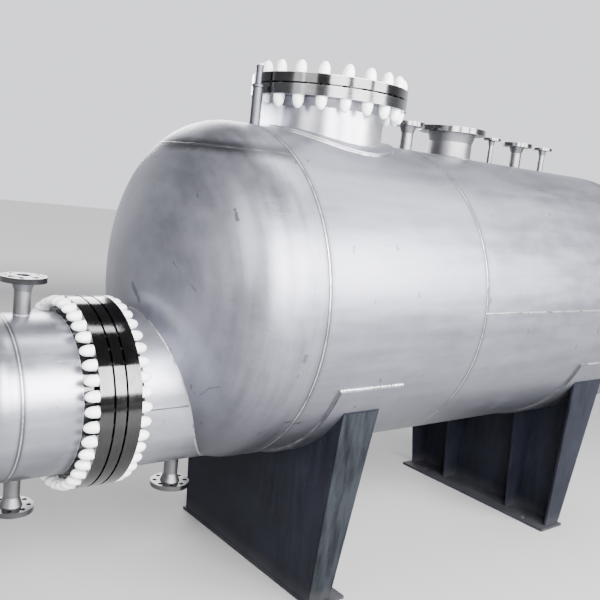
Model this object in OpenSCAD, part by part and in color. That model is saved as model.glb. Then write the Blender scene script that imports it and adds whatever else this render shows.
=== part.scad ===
/* [Shell] */
// Outside diameter of the shell
shell_od = 1400; // [1300:10:1500]
// Wall of the shell and its two heads
shell_wall = 12; // [8:1:20]
// Height of the shell axis over the floor
axis_height = 1270; // [1240:5:1350]
// From the front saddle back to the front head seam
front_seam_gap = 322; // [300:2:340]
// Length of the front shell course
front_course_length = 892; // [870:2:920]
// Length of the rear shell course
rear_course_length = 1463; // [1440:5:1700]
// Straight flange of each shell head
head_skirt = 68; // [50:2:80]

/* [Tube side] */
// How far the underside of the neck hangs below the underside of the shell
neck_lip = 16; // [4:1:18]
// Outside diameter of the bundle neck
neck_od = 636; // [630:1:640]
// Wall of the bundle neck
neck_wall = 18; // [16:1:20]
// From the crown of the front head out to the face of the neck flange
neck_stand = 171; // [160:1:210]
// Outside diameter of the channel barrel
channel_od = 610; // [590:2:620]
// Wall of the channel barrel and its head
channel_wall = 12; // [8:1:16]
// Length of the channel from its flange back to the head seam
channel_length = 243; // [230:1:300]
// Straight flange of the channel head
channel_skirt = 30; // [20:1:40]
// Rim of the bolted flange pair beyond the wider of neck and channel
girth_rim = 49; // [46:0.5:62]
// From the stud circle out to the edge of the flange pair
girth_edge = 20.5; // [19:0.5:22]
// Number of studs in the flange pair
girth_studs = 40; // [32:4:40]
// Stud holes of the flange pair
girth_hole = 26; // [20:1:28]
// Thickness of the neck flange
neck_flange_t = 55; // [45:1:65]
// Thickness of the tube sheet
tube_sheet_t = 43; // [35:1:50]
// Thickness of the channel flange
channel_flange_t = 52; // [45:1:60]
// Thickness of each gasket
gasket_t = 4; // [2:0.5:5]

/* [Manway] */
// From the front head seam to the manway axis
manway_x = 460; // [450:2:470]
// Outside diameter of the manway neck
manway_od = 508; // [490:1:520]
// Wall of the manway neck
manway_wall = 12; // [8:1:16]
// Height of the manway gasket over the crown of the shell
manway_rise = 182; // [170:2:200]
// Rim of the manway flange and its cover beyond the neck
manway_rim = 95; // [90:0.5:100]
// From the stud circle of the manway out to the edge of its flange
manway_edge = 31.5; // [28:0.5:35]
// Number of manway studs
manway_studs = 20; // [12:4:20]
// Stud holes of the manway
manway_hole = 32; // [24:1:33]
// Thickness of the manway flange
manway_flange_t = 44; // [38:1:50]
// Thickness of the manway cover
manway_cover_t = 40; // [34:1:50]
// Width of the reinforcing pad around the manway neck
manway_pad_width = 59; // [50:1:75]

/* [Davit] */
// Clear gap between the davit sleeve and the edge of the manway flange
davit_gap = 17; // [12:1:40]
// Outside diameter of the davit sleeve
davit_sleeve_od = 44; // [38:1:50]
// Diameter of the davit post
davit_post_d = 29; // [24:1:32]
// Height of the davit sleeve over the crown of the shell
davit_sleeve_rise = 166; // [140:2:180]
// Height of the davit post over the crown of the shell
davit_post_rise = 244; // [240:2:300]

/* [Crown nozzles] */
// Height of the nozzle faces over the crown of the shell
nozzle_rise = 136; // [120:2:150]
// Height of the large nozzle face over the crown of the shell
vapour_rise = 146; // [135:1:160]
// From the manway axis to the gauge nozzle beside it
gauge_step = 522; // [510:2:530]
// From the gauge nozzle to the large nozzle
vapour_step = 326; // [310:2:340]
// From the large nozzle to the vent nozzle
vent_step = 330; // [320:2:340]
// From the vent nozzle to the inlet nozzle
inlet_step = 229; // [220:1:240]
// From the inlet nozzle to the rear probe nozzle
probe_step = 244; // [230:2:250]

/* [Tube side nozzles] */
// From the neck flange face out to the channel nozzles
channel_nozzle_x = 266; // [262:1:268]
// From the channel barrel out to the faces of its nozzles
channel_nozzle_rise = 142; // [130:1:155]
// From the front head seam out to the neck drain
drain_x = 184; // [176:2:200]
// From the neck down to the face of its drain
drain_rise = 140; // [128:1:152]

/* [Saddles] */
// Distance between the two saddles
saddle_span = 1655; // [1640:5:1700]
// How far a saddle base plate reaches past its end plates
base_margin = 20; // [17:1:60]
// Width of a saddle base plate along the shell
base_width = 190; // [186:1:210]
// Thickness of a saddle base plate
base_t = 14; // [10:1:20]
// Thickness of the saddle web, ribs and end plates
plate_t = 12; // [8:1:14]
// Width of the wear plates along the shell
wear_width = 344; // [340:2:360]
// Thickness of the wear plates
wear_t = 12; // [8:1:14]
// Angle from the horizontal down to the upper edge of the wear plates
wear_angle = 24; // [20:1:27]
// Half the distance between the outer faces of the end plates at the base
end_plate_foot = 515; // [505:1:518]
// Outward lean of the end plates
end_plate_lean = 5; // [4:0.5:6]
// Half the distance between the two inner ribs
rib_offset = 240; // [220:5:260]
// Holes for the anchor bolts
anchor_hole = 28; // [22:1:30]
// Distance between the anchor bolts of one saddle
anchor_span = 760; // [740:5:780]

/* [Hidden] */

// Facets of the large round pieces, of pipes, and of holes and heads in section
round_fn = 144;
pipe_fn = 72;
hole_fn = 24;
// Small overlap of a cutting solid past the face that it cuts
cut = 1;
// Reach of a solid that only trims another
far = 2000;

shell_r = shell_od / 2;
shell_bore = shell_r - shell_wall;
front_seam_x = -front_seam_gap;
course_seam_x = front_seam_x + front_course_length;
rear_seam_x = course_seam_x + rear_course_length;
tube_side_z = axis_height - shell_r + neck_od / 2 - neck_lip;

// Crown and knuckle radii of a two to one head, as parts of its diameter
crown_ratio = 0.904;
knuckle_ratio = 0.173;
function dish_rise(d) = crown_ratio * d
    - sqrt(pow((crown_ratio - knuckle_ratio) * d, 2) - pow((0.5 - knuckle_ratio) * d, 2));

neck_face_x = front_seam_x - head_skirt - dish_rise(shell_od) - neck_stand;
sheet_x = neck_face_x - gasket_t - tube_sheet_t;
channel_face_x = sheet_x - gasket_t;
channel_back_x = channel_face_x - channel_flange_t;
channel_seam_x = channel_back_x - channel_length;
neck_bore = neck_od / 2 - neck_wall;
channel_bore = channel_od / 2 - channel_wall;
girth_od = max(neck_od, channel_od) + 2 * girth_rim;
girth_pcd = girth_od - 2 * girth_edge;
channel_nozzle_reach = channel_od / 2 + channel_nozzle_rise;
drain_reach = neck_od / 2 + drain_rise;
// Raised joint faces of the flange pair
joint_face_od = girth_pcd - girth_hole - 6;
joint_face_rise = 2;
// Hubs of the flange pair
girth_hub_length = 34;
girth_hub_rise = 8;

manway_axis_x = front_seam_x + manway_x;
manway_face = shell_r + manway_rise;
manway_flange_od = manway_od + 2 * manway_rim;
manway_pcd = manway_flange_od - 2 * manway_edge;
manway_pad_od = manway_od + 2 * manway_pad_width;
manway_hub_rise = 12;
manway_hub_length = 34;
manway_ring_od = manway_pcd - manway_hole - 8;
pad_t = 12;
gusset_clear = 4;

davit_x = manway_x - manway_flange_od / 2 - davit_gap - davit_sleeve_od / 2;
davit_sleeve_top = shell_r + davit_sleeve_rise;
davit_post_top = shell_r + davit_post_rise;

nozzle_face = shell_r + nozzle_rise;
vapour_face = shell_r + vapour_rise;
gauge_x = manway_x + gauge_step;
vapour_x = gauge_x + vapour_step;
vent_x = vapour_x + vent_step;
inlet_x = vent_x + inlet_step;
probe_x = inlet_x + probe_step;

// Pipe outside diameter and wall of each nozzle size
pipe_20 = [26.7, 3.9];
pipe_25 = [33.4, 4.5];
pipe_50 = [60.3, 5.5];
pipe_200 = [219.1, 10];
// Flange outside diameter, thickness, bolt circle, holes, hole size, hub diameter and hub length
flange_20 = [98.6, 14, 69.9, 4, 15.7, 38, 40];
flange_25 = [108, 15, 79.4, 4, 15.7, 49, 42];
flange_50 = [165, 22.4, 127, 8, 19, 84, 56];
flange_200 = [343, 28.6, 298.5, 8, 22.2, 246, 74];
raised_face_t = 2;
// Every opening in the crown, as its place and diameter
CROWN_HOLES = [
    [manway_x, manway_od],
    [gauge_x, pipe_50[0]],
    [vapour_x, pipe_200[0]],
    [vent_x, pipe_20[0]],
    [inlet_x, pipe_50[0]],
    [probe_x, pipe_25[0]]
];

// Side of a saddle that its web stands on, minus one towards the channel
FRONT_SIDE = -1;
REAR_SIDE = 1;
web_inset = 5;
base_length = 2 * (end_plate_foot + base_margin);
// How far the ribs and end plates reach past the base centre, on the open side
rib_foot = 30;
rib_head = 108;
// How far the rear end plates lean out past their web at the top
wing_overhang = 70;
base_top = base_t;
wear_r = shell_r + wear_t;
vent_hole = 10;
vent_hole_angle = 31;
vent_hole_x = 55;

// Solid of revolution about the X axis, with its profile as [radius, x]
module spin_x() {
    rotate([0, 90, 0])
        rotate([0, 0, 180])
            rotate_extrude($fn = round_fn)
                children();
}

// Cylinder along X from x0 to x1
module bar_x(r, x0, x1) {
    translate([x0, 0, 0])
        rotate([0, 90, 0])
            cylinder(r = r, h = x1 - x0, $fn = round_fn);
}

// Tube along X from x0 to x1
module tube_x(r, wall, x0, x1) {
    difference() {
        bar_x(r, x0, x1);
        bar_x(r - wall, x0 - cut, x1 + cut);
    }
}

// Half section of a dished head, shrunk by inset all round, with its rim on y = 0
module dish_area(d, skirt, inset) {
    knuckle_at = [(0.5 - knuckle_ratio) * d, 0];
    crown_at = [0, dish_rise(d) - crown_ratio * d];
    wedge_tip = crown_at + (knuckle_at - crown_at) * 3;
    translate([0, skirt])
        intersection() {
            union() {
                intersection() {
                    translate(crown_at)
                        circle(r = crown_ratio * d - inset, $fn = round_fn);
                    polygon([crown_at, wedge_tip, [0, wedge_tip[1]]]);
                }
                translate(knuckle_at)
                    circle(r = knuckle_ratio * d - inset, $fn = round_fn);
            }
            square([d, d]);
        }
    square([d / 2 - inset, skirt]);
}

// Dished head with its rim at x = 0, rising towards +X
module dish_shell(d, skirt, wall) {
    spin_x()
        difference() {
            dish_area(d, skirt, 0);
            dish_area(d, skirt, wall);
        }
}

// The space inside a dished head, or all of it with no inset
module dish_solid(d, skirt, inset) {
    spin_x()
        dish_area(d, skirt, inset);
}

// Ring of holes along X through a flange, straddling the centrelines
module stud_holes_x(count, pcd, hole, x0, x1) {
    for (i = [0:count - 1])
        rotate([(i + 0.5) * 360 / count, 0, 0])
            translate([x0 - cut, 0, pcd / 2])
                rotate([0, 90, 0])
                    cylinder(d = hole, h = x1 - x0 + 2 * cut, $fn = hole_fn);
}

// Ring of holes along Z through a flange whose back is at z0 and face at z1
module stud_holes_z(count, pcd, hole, z0, z1) {
    for (i = [0:count - 1])
        rotate([0, 0, (i + 0.5) * 360 / count])
            translate([pcd / 2, 0, z0 - cut])
                cylinder(d = hole, h = z1 - z0 + 2 * cut, $fn = hole_fn);
}

// Weld neck nozzle with its joint face at z = 0 and its pipe running down to z = -reach
module weld_neck_nozzle(pipe, flange, reach) {
    bore = pipe[0] / 2 - pipe[1];
    face_r = (flange[2] - flange[4]) / 2 - 2;
    difference() {
        rotate_extrude($fn = pipe_fn)
            polygon([
                [bore, 0],
                [face_r, 0],
                [face_r, -raised_face_t],
                [flange[0] / 2, -raised_face_t],
                [flange[0] / 2, -flange[1]],
                [flange[5] / 2, -flange[1]],
                [pipe[0] / 2, -flange[6]],
                [pipe[0] / 2, -reach],
                [bore, -reach]
            ]);
        stud_holes_z(flange[3], flange[2], flange[4], -flange[1], 0);
    }
}

// Crown nozzle at x, standing through the shell wall
module crown_nozzle(x, face, pipe, flange) {
    difference() {
        translate([front_seam_x + x, 0, axis_height + face])
            weld_neck_nozzle(pipe, flange, face - shell_bore + pipe[0] / 2);
        shell_space(shell_bore);
    }
}

// Nozzle on the channel or the neck, at x, up or down from the tube side axis
module tube_side_nozzle(x, side, face, pipe, flange, bore_r) {
    difference() {
        translate([x, 0, tube_side_z])
            rotate([side > 0 ? 0 : 180, 0, 0])
                translate([0, 0, face])
                    weld_neck_nozzle(pipe, flange, face - bore_r + pipe[0]);
        translate([0, 0, tube_side_z])
            bar_x(bore_r, x - far, x + far);
    }
}

// Long cylinder about the shell axis, to trim what meets the shell
module shell_space(r) {
    translate([0, 0, axis_height])
        bar_x(r, -far, 2 * far);
}

// Upright cylinder that opens the shell wall at x for a pipe
module crown_hole(x, d) {
    translate([front_seam_x + x, 0, axis_height])
        cylinder(d = d, h = 2 * shell_r, $fn = pipe_fn);
}

// All openings of the crown
module crown_holes() {
    for (hole = CROWN_HOLES)
        crown_hole(hole[0], hole[1]);
}

module front_head() {
    color("#b9babd")
        difference() {
            translate([front_seam_x, 0, axis_height])
                mirror([1, 0, 0])
                    dish_shell(shell_od, head_skirt, shell_wall);
            translate([0, 0, tube_side_z])
                bar_x(neck_bore, -far, front_seam_x - head_skirt);
        }
}

module front_shell_course() {
    color("#b4b6ba")
        difference() {
            translate([0, 0, axis_height])
                tube_x(shell_r, shell_wall, front_seam_x, course_seam_x);
            crown_holes();
        }
}

module rear_shell_course() {
    color("#b1b3b8")
        difference() {
            translate([0, 0, axis_height])
                tube_x(shell_r, shell_wall, course_seam_x, rear_seam_x);
            crown_holes();
        }
}

module rear_head() {
    color("#b9babd")
        translate([rear_seam_x, 0, axis_height])
            dish_shell(shell_od, head_skirt, shell_wall);
}

// Neck cut to the outside of the front head, with its lower lip under the skirt
module bundle_neck() {
    color("#c2c3c6")
        difference() {
            translate([0, 0, tube_side_z])
                tube_x(neck_od / 2, neck_wall, neck_face_x + neck_flange_t + girth_hub_length,
                    front_seam_x - head_skirt);
            translate([front_seam_x, 0, axis_height])
                mirror([1, 0, 0])
                    dish_solid(shell_od, head_skirt, 0);
            tube_side_hole(front_seam_x - drain_x, -1, pipe_50[0]);
        }
}

// Hole through the tube side wall at x, up or down
module tube_side_hole(x, side, d) {
    translate([x, 0, tube_side_z])
        rotate([side > 0 ? 0 : 180, 0, 0])
            cylinder(d = d, h = channel_od, $fn = pipe_fn);
}

// Body flange with its joint face at x = 0 and its hub towards +X
module body_flange(t, pipe_r, wall) {
    difference() {
        spin_x()
            polygon([
                [pipe_r - wall, 0],
                [joint_face_od / 2, 0],
                [joint_face_od / 2, joint_face_rise],
                [girth_od / 2, joint_face_rise],
                [girth_od / 2, t],
                [pipe_r + girth_hub_rise, t],
                [pipe_r, t + girth_hub_length],
                [pipe_r - wall, t + girth_hub_length]
            ]);
        stud_holes_x(girth_studs, girth_pcd, girth_hole, 0, t);
    }
}

module neck_flange() {
    color("#8d8f93")
        translate([neck_face_x, 0, tube_side_z])
            body_flange(neck_flange_t, neck_od / 2, neck_wall);
}

// Flat ring gasket on the tube side axis
module ring_gasket(x, inner_r) {
    color("#202124")
        translate([0, 0, tube_side_z])
            tube_x(joint_face_od / 2, joint_face_od / 2 - inner_r, x, x + gasket_t);
}

module neck_gasket() {
    ring_gasket(neck_face_x - gasket_t, neck_bore);
}

module tube_sheet() {
    color("#85878b")
        translate([sheet_x, 0, tube_side_z])
            difference() {
                union() {
                    bar_x(joint_face_od / 2, 0, tube_sheet_t);
                    bar_x(girth_od / 2, joint_face_rise, tube_sheet_t - joint_face_rise);
                }
                stud_holes_x(girth_studs, girth_pcd, girth_hole, 0, tube_sheet_t);
            }
}

module channel_gasket() {
    ring_gasket(channel_face_x, channel_bore);
}

module channel_flange() {
    color("#8d8f93")
        translate([channel_face_x, 0, tube_side_z])
            mirror([1, 0, 0])
                body_flange(channel_flange_t, channel_od / 2, channel_wall);
}

module channel_barrel() {
    color("#bfc0c4")
        difference() {
            translate([0, 0, tube_side_z])
                tube_x(channel_od / 2, channel_wall, channel_seam_x, channel_back_x - girth_hub_length);
            tube_side_hole(neck_face_x - channel_nozzle_x, 1, pipe_50[0]);
            tube_side_hole(neck_face_x - channel_nozzle_x, -1, pipe_50[0]);
        }
}

module channel_head() {
    color("#bcbdc1")
        translate([channel_seam_x, 0, tube_side_z])
            mirror([1, 0, 0])
                dish_shell(channel_od, channel_skirt, channel_wall);
}

module channel_top_nozzle() {
    color("#a9abaf")
        tube_side_nozzle(neck_face_x - channel_nozzle_x, 1, channel_nozzle_reach,
            pipe_50, flange_50, channel_bore);
}

module channel_bottom_nozzle() {
    color("#a9abaf")
        tube_side_nozzle(neck_face_x - channel_nozzle_x, -1, channel_nozzle_reach,
            pipe_50, flange_50, channel_bore);
}

module neck_drain_nozzle() {
    color("#a9abaf")
        tube_side_nozzle(front_seam_x - drain_x, -1, drain_reach, pipe_50, flange_50, neck_bore);
}

// Reinforcing pad that lies on the shell around the manway neck
module manway_pad() {
    color("#b6b8bb")
        difference() {
            intersection() {
                translate([manway_axis_x, 0, axis_height])
                    cylinder(d = manway_pad_od, h = 2 * shell_r, $fn = round_fn);
                shell_space(shell_r + pad_t);
            }
            shell_space(shell_r);
            crown_hole(manway_x, manway_od);
        }
}

module manway_neck() {
    bore = manway_od / 2 - manway_wall;
    face_z = axis_height + manway_face;
    color("#c6c7ca")
        difference() {
            translate([manway_axis_x, 0, face_z])
                difference() {
                    rotate_extrude($fn = round_fn)
                        polygon([
                            [bore, 0],
                            [manway_ring_od / 2, 0],
                            [manway_ring_od / 2, -raised_face_t],
                            [manway_flange_od / 2, -raised_face_t],
                            [manway_flange_od / 2, -manway_flange_t],
                            [manway_od / 2 + manway_hub_rise, -manway_flange_t],
                            [manway_od / 2, -manway_flange_t - manway_hub_length],
                            [manway_od / 2, -manway_face + shell_bore / 2],
                            [bore, -manway_face + shell_bore / 2]
                        ]);
                    stud_holes_z(manway_studs, manway_pcd, manway_hole, -manway_flange_t, 0);
                }
            shell_space(shell_bore);
        }
}

module manway_gasket() {
    color("#202124")
        translate([manway_axis_x, 0, axis_height + manway_face])
            difference() {
                cylinder(d = manway_ring_od, h = gasket_t, $fn = round_fn);
                translate([0, 0, -cut])
                    cylinder(d = manway_od - 2 * manway_wall, h = gasket_t + 2 * cut, $fn = round_fn);
            }
}

module manway_cover() {
    color("#8d8f93")
        translate([manway_axis_x, 0, axis_height + manway_face + gasket_t])
            difference() {
                union() {
                    cylinder(d = manway_ring_od, h = manway_cover_t, $fn = round_fn);
                    translate([0, 0, raised_face_t])
                        cylinder(d = manway_flange_od, h = manway_cover_t - raised_face_t, $fn = round_fn);
                }
                stud_holes_z(manway_studs, manway_pcd, manway_hole, 0, manway_cover_t);
            }
}

// Upright sleeve that stands on the crown of the shell in front of the manway
module davit_sleeve() {
    color("#8b8c91")
        difference() {
            translate([front_seam_x + davit_x, 0, axis_height])
                difference() {
                    cylinder(d = davit_sleeve_od, h = davit_sleeve_top, $fn = pipe_fn);
                    translate([0, 0, shell_r])
                        cylinder(d = davit_post_d, h = davit_sleeve_top, $fn = pipe_fn);
                }
            shell_space(shell_r);
        }
}

module davit_post() {
    color("#77787d")
        translate([front_seam_x + davit_x, 0, axis_height + shell_r])
            cylinder(d = davit_post_d, h = davit_post_top - shell_r, $fn = pipe_fn);
}

// Upright plate that ties the sleeve to the manway neck, up to the flange hub
module davit_gusset() {
    sleeve_side = front_seam_x + davit_x;
    neck_side = manway_axis_x;
    top = manway_face - manway_flange_t - manway_hub_length - gusset_clear;
    color("#a0a1a5")
        difference() {
            translate([0, plate_t / 2, axis_height])
                rotate([90, 0, 0])
                    linear_extrude(plate_t)
                        polygon([
                            [sleeve_side, shell_r / 2],
                            [sleeve_side, top],
                            [neck_side, top],
                            [neck_side, shell_r / 2]
                        ]);
            shell_space(shell_r);
            intersection() {
                shell_space(shell_r + pad_t);
                crown_hole(manway_x, manway_pad_od);
            }
            crown_hole(davit_x, davit_sleeve_od);
            crown_hole(manway_x, manway_od);
        }
}

module gauge_nozzle() {
    color("#a9abaf")
        crown_nozzle(gauge_x, nozzle_face, pipe_50, flange_50);
}

module vapour_nozzle() {
    color("#a9abaf")
        crown_nozzle(vapour_x, vapour_face, pipe_200, flange_200);
}

module vent_nozzle() {
    color("#a9abaf")
        crown_nozzle(vent_x, nozzle_face, pipe_20, flange_20);
}

module inlet_nozzle() {
    color("#a9abaf")
        crown_nozzle(inlet_x, nozzle_face, pipe_50, flange_50);
}

module probe_nozzle() {
    color("#a9abaf")
        crown_nozzle(probe_x, nozzle_face, pipe_25, flange_25);
}

// Outline across the shell between the leaning end plates, above the base plate
module saddle_outline(inset) {
    rise = axis_height - base_top;
    foot = end_plate_foot - inset;
    head = foot + rise * tan(end_plate_lean);
    polygon([[-foot, base_top], [foot, base_top], [head, axis_height], [-head, axis_height]]);
}

// Plate across the shell from x0 to x1, cut to the wear plate
module cross_plate(inset, x0, x1) {
    difference() {
        translate([x0, 0, 0])
            rotate([90, 0, 90])
                linear_extrude(x1 - x0)
                    saddle_outline(inset);
        shell_space(wear_r);
        upper_half();
    }
}

// Block over the level at which the end plates meet the wear plate
module upper_half() {
    translate([-far, -far, axis_height])
        cube([4 * far, 2 * far, far]);
}

// Outline along the shell of a rib or end plate, wider at the head
module rib_outline(side, overhang) {
    web_face = side * (base_width / 2 - web_inset);
    web_head = web_face + side * overhang;
    polygon([
        [web_face, base_top],
        [-side * rib_foot, base_top],
        [-side * rib_head, axis_height - shell_r / 2],
        [-side * rib_head, axis_height],
        [web_head, axis_height],
        [web_head, axis_height - shell_r / 2]
    ]);
}

module wear_plate() {
    half_width = wear_width / 2;
    color("#a7a9ad")
        difference() {
            translate([0, 0, axis_height])
                tube_x(wear_r, wear_t, -half_width, half_width);
            upper_half();
            for (side = [-1, 1]) {
                translate([0, 0, axis_height])
                    rotate([-side * wear_angle, 0, 0])
                        translate([-half_width - cut, side > 0 ? 0 : -far, 0])
                            cube([wear_width + 2 * cut, far, far]);
                translate([-vent_hole_x, 0, axis_height])
                    rotate([-side * (90 + vent_hole_angle), 0, 0])
                        cylinder(d = vent_hole, h = far, $fn = hole_fn);
            }
        }
}

module saddle_web(side) {
    outer = side * (base_width / 2 - web_inset);
    inner = outer - side * plate_t;
    color("#1d2027")
        cross_plate(plate_t, min(outer, inner), max(outer, inner));
}

// The two leaning plates that close the ends of a saddle
module end_plates(side, overhang) {
    color("#3a414d")
        difference() {
            translate([0, far, 0])
                rotate([90, 0, 0])
                    linear_extrude(2 * far)
                        rib_outline(side, overhang);
            translate([0, 0, 0])
                rotate([90, 0, 90])
                    translate([0, 0, -far])
                        linear_extrude(2 * far)
                            saddle_outline(plate_t);
            outside_saddle();
            shell_space(wear_r);
            upper_half();
        }
}

// All that lies outside the leaning outline of a saddle
module outside_saddle() {
    rotate([90, 0, 90])
        translate([0, 0, -far])
            linear_extrude(2 * far)
                difference() {
                    translate([-2 * far, 0])
                        square([4 * far, 2 * far]);
                    saddle_outline(0);
                }
}

module saddle_ribs(side) {
    web_back = side * (base_width / 2 - web_inset - plate_t);
    color("#20242b")
        for (y = [-rib_offset, rib_offset])
            difference() {
                translate([0, y + plate_t / 2, 0])
                    rotate([90, 0, 0])
                        linear_extrude(plate_t)
                            rib_outline(side, 0);
                translate([side > 0 ? web_back : web_back - far, -far, 0])
                    cube([far, 2 * far, 2 * far]);
                shell_space(wear_r);
            }
}

module saddle_base_plate() {
    translate([-base_width / 2, -base_length / 2, 0])
        cube([base_width, base_length, base_t]);
}

// Centre of the anchor bolts, on the open side of the web
function anchor_x(side) = -side * base_width / 4;

module front_saddle_wear_plate() {
    wear_plate();
}

module front_saddle_web() {
    saddle_web(FRONT_SIDE);
}

module front_saddle_end_plates() {
    end_plates(FRONT_SIDE, 0);
}

module front_saddle_ribs() {
    saddle_ribs(FRONT_SIDE);
}

module front_saddle_base() {
    color("#1d2027")
        difference() {
            saddle_base_plate();
            for (y = [-anchor_span / 2, anchor_span / 2])
                translate([anchor_x(FRONT_SIDE), y, -cut])
                    cylinder(d = anchor_hole, h = base_t + 2 * cut, $fn = hole_fn);
        }
}

module rear_saddle_wear_plate() {
    translate([saddle_span, 0, 0])
        wear_plate();
}

module rear_saddle_web() {
    translate([saddle_span, 0, 0])
        saddle_web(REAR_SIDE);
}

module rear_saddle_end_plates() {
    translate([saddle_span, 0, 0])
        end_plates(REAR_SIDE, wing_overhang);
}

module rear_saddle_ribs() {
    translate([saddle_span, 0, 0])
        saddle_ribs(REAR_SIDE);
}

module rear_saddle_base() {
    slot = anchor_hole * 0.8;
    color("#1d2027")
        translate([saddle_span, 0, 0])
            difference() {
                saddle_base_plate();
                for (y = [-anchor_span / 2, anchor_span / 2])
                    translate([anchor_x(REAR_SIDE), y, -cut]) {
                        for (x = [-slot / 2, slot / 2])
                            translate([x, 0, 0])
                                cylinder(d = anchor_hole, h = base_t + 2 * cut, $fn = hole_fn);
                        translate([-slot / 2, -anchor_hole / 2, 0])
                            cube([slot, anchor_hole, base_t + 2 * cut]);
                    }
            }
}

front_head();
front_shell_course();
rear_shell_course();
rear_head();
bundle_neck();
neck_flange();
neck_gasket();
tube_sheet();
channel_gasket();
channel_flange();
channel_barrel();
channel_head();
channel_top_nozzle();
channel_bottom_nozzle();
neck_drain_nozzle();
manway_pad();
manway_neck();
manway_gasket();
manway_cover();
davit_sleeve();
davit_post();
davit_gusset();
gauge_nozzle();
vapour_nozzle();
vent_nozzle();
inlet_nozzle();
probe_nozzle();
front_saddle_wear_plate();
front_saddle_web();
front_saddle_end_plates();
front_saddle_ribs();
front_saddle_base();
rear_saddle_wear_plate();
rear_saddle_web();
rear_saddle_end_plates();
rear_saddle_ribs();
rear_saddle_base();
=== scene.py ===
"""Looks of a horizontal heat exchanger: finishes, welds, studs with caps, studio and camera."""
import logging
import math
import random
from collections.abc import Callable, Sequence
from dataclasses import dataclass
from enum import Enum

import bpy
from mathutils import Matrix, Vector


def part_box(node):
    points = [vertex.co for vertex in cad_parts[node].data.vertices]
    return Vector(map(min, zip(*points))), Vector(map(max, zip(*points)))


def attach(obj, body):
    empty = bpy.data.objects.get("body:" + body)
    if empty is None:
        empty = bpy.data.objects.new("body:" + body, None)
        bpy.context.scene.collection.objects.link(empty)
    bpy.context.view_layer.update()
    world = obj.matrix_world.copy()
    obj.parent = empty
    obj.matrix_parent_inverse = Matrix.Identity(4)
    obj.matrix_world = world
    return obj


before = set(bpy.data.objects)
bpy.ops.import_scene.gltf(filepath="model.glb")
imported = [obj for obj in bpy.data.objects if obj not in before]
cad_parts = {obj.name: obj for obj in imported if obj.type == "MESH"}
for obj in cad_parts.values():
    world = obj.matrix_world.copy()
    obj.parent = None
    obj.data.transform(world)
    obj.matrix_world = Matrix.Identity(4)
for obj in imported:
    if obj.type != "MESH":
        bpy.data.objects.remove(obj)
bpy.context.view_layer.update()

LOG = logging.getLogger("heat_exchanger")
BODY = "root"
WELD_CREASE = 70.0
STUD_CREASE = 42.0
TRIM_CREASE = 40.0
Colour = tuple[float, float, float]
Triple = tuple[float, float, float]
Track = list[tuple[Vector, Vector]]


class Slot(Enum):
    """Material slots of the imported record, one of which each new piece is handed."""

    PLATE = "pickled_steel"
    MACHINED = "machined_steel"
    DAVIT = "davit_grey"
    BLACK = "saddle_black"


class Side(Enum):
    """Directions along an axis."""

    MINUS = -1
    PLUS = 1


def shade(colour: Colour, factor: float) -> Colour:
    """Colour whose three parts are multiplied by a factor."""
    return tuple(factor * part for part in colour)


def turns(count: int) -> list[float]:
    """Angles of evenly spaced points round a circle, in radians."""
    return [2 * math.pi * k / count for k in range(count)]


def heading(azimuth: float, rise: float) -> Triple:
    """Direction at an azimuth and a rise over the floor, both in degrees."""
    turn, lift = math.radians(azimuth), math.radians(rise)
    return math.cos(turn) * math.cos(lift), math.sin(turn) * math.cos(lift), math.sin(lift)


def straight(foot: Vector, start: float, end: float, normal: Vector, step: float) -> Track:
    """Track along X.

    Args:
        foot: Point at X 0 of the line that it follows.
        start: First X.
        end: Last X.
        normal: Outward normal all along.
        step: Longest distance between two points.

    Returns:
        The track.
    """
    count = int((end - start) / step)
    return [
        (foot + Vector((start + (end - start) * k / count, 0, 0)), normal) for k in range(count + 1)
    ]


@dataclass(frozen=True)
class Pattern:
    """Noise by its clouds for each metre, octaves, share of the finer ones and stretch."""

    scale: float
    detail: float
    rough: float
    stretch: Triple | None = None


class Signal:
    """One shader value that Python operators build Math nodes on."""

    def __init__(self, bench: "Bench", socket: bpy.types.NodeSocket) -> None:
        """Keeps the socket and the bench that it belongs to."""
        self.bench = bench
        self.socket = socket

    def _join(self, operation: str, *values: "Signal | float") -> "Signal":
        """Adds one Math node with these inputs, in order, and gives its result."""
        node = self.bench.node("ShaderNodeMath", {"operation": operation}, dict(enumerate(values)))
        return Signal(self.bench, node.outputs[0])

    def __add__(self, other: "Signal | float") -> "Signal":
        """Sum."""
        return self._join("ADD", self, other)

    def __radd__(self, other: float) -> "Signal":
        """Sum with a number on the left."""
        return self._join("ADD", other, self)

    def __sub__(self, other: "Signal | float") -> "Signal":
        """Difference."""
        return self._join("SUBTRACT", self, other)

    def __rsub__(self, other: float) -> "Signal":
        """Number less this value."""
        return self._join("SUBTRACT", other, self)

    def __mul__(self, other: "Signal | float") -> "Signal":
        """Product."""
        return self._join("MULTIPLY", self, other)

    def __rmul__(self, other: float) -> "Signal":
        """Product with a number on the left."""
        return self._join("MULTIPLY", other, self)

    def size(self) -> "Signal":
        """Value without its sign."""
        return self._join("ABSOLUTE", self)

    def least(self, other: "Signal | float") -> "Signal":
        """Lower of two values."""
        return self._join("MINIMUM", self, other)

    def most(self, other: "Signal | float") -> "Signal":
        """Higher of two values."""
        return self._join("MAXIMUM", self, other)

    def swing(self, amount: float) -> "Signal":
        """How far a noise is off one half, times an amount."""
        return (self - 0.5) * amount

    def fade(self, start: float, end: float) -> "Signal":
        """Smooth step from 0 at start to 1 at end.

        Args:
            start: Value at which the result is 0.
            end: Value at which the result is 1.

        Returns:
            The stepped value, held between 0 and 1.
        """
        settings = {"interpolation_type": "SMOOTHSTEP"}
        inputs = {"Value": self, "From Min": start, "From Max": end}
        return Signal(self.bench, self.bench.node("ShaderNodeMapRange", settings, inputs).outputs[0])


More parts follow.
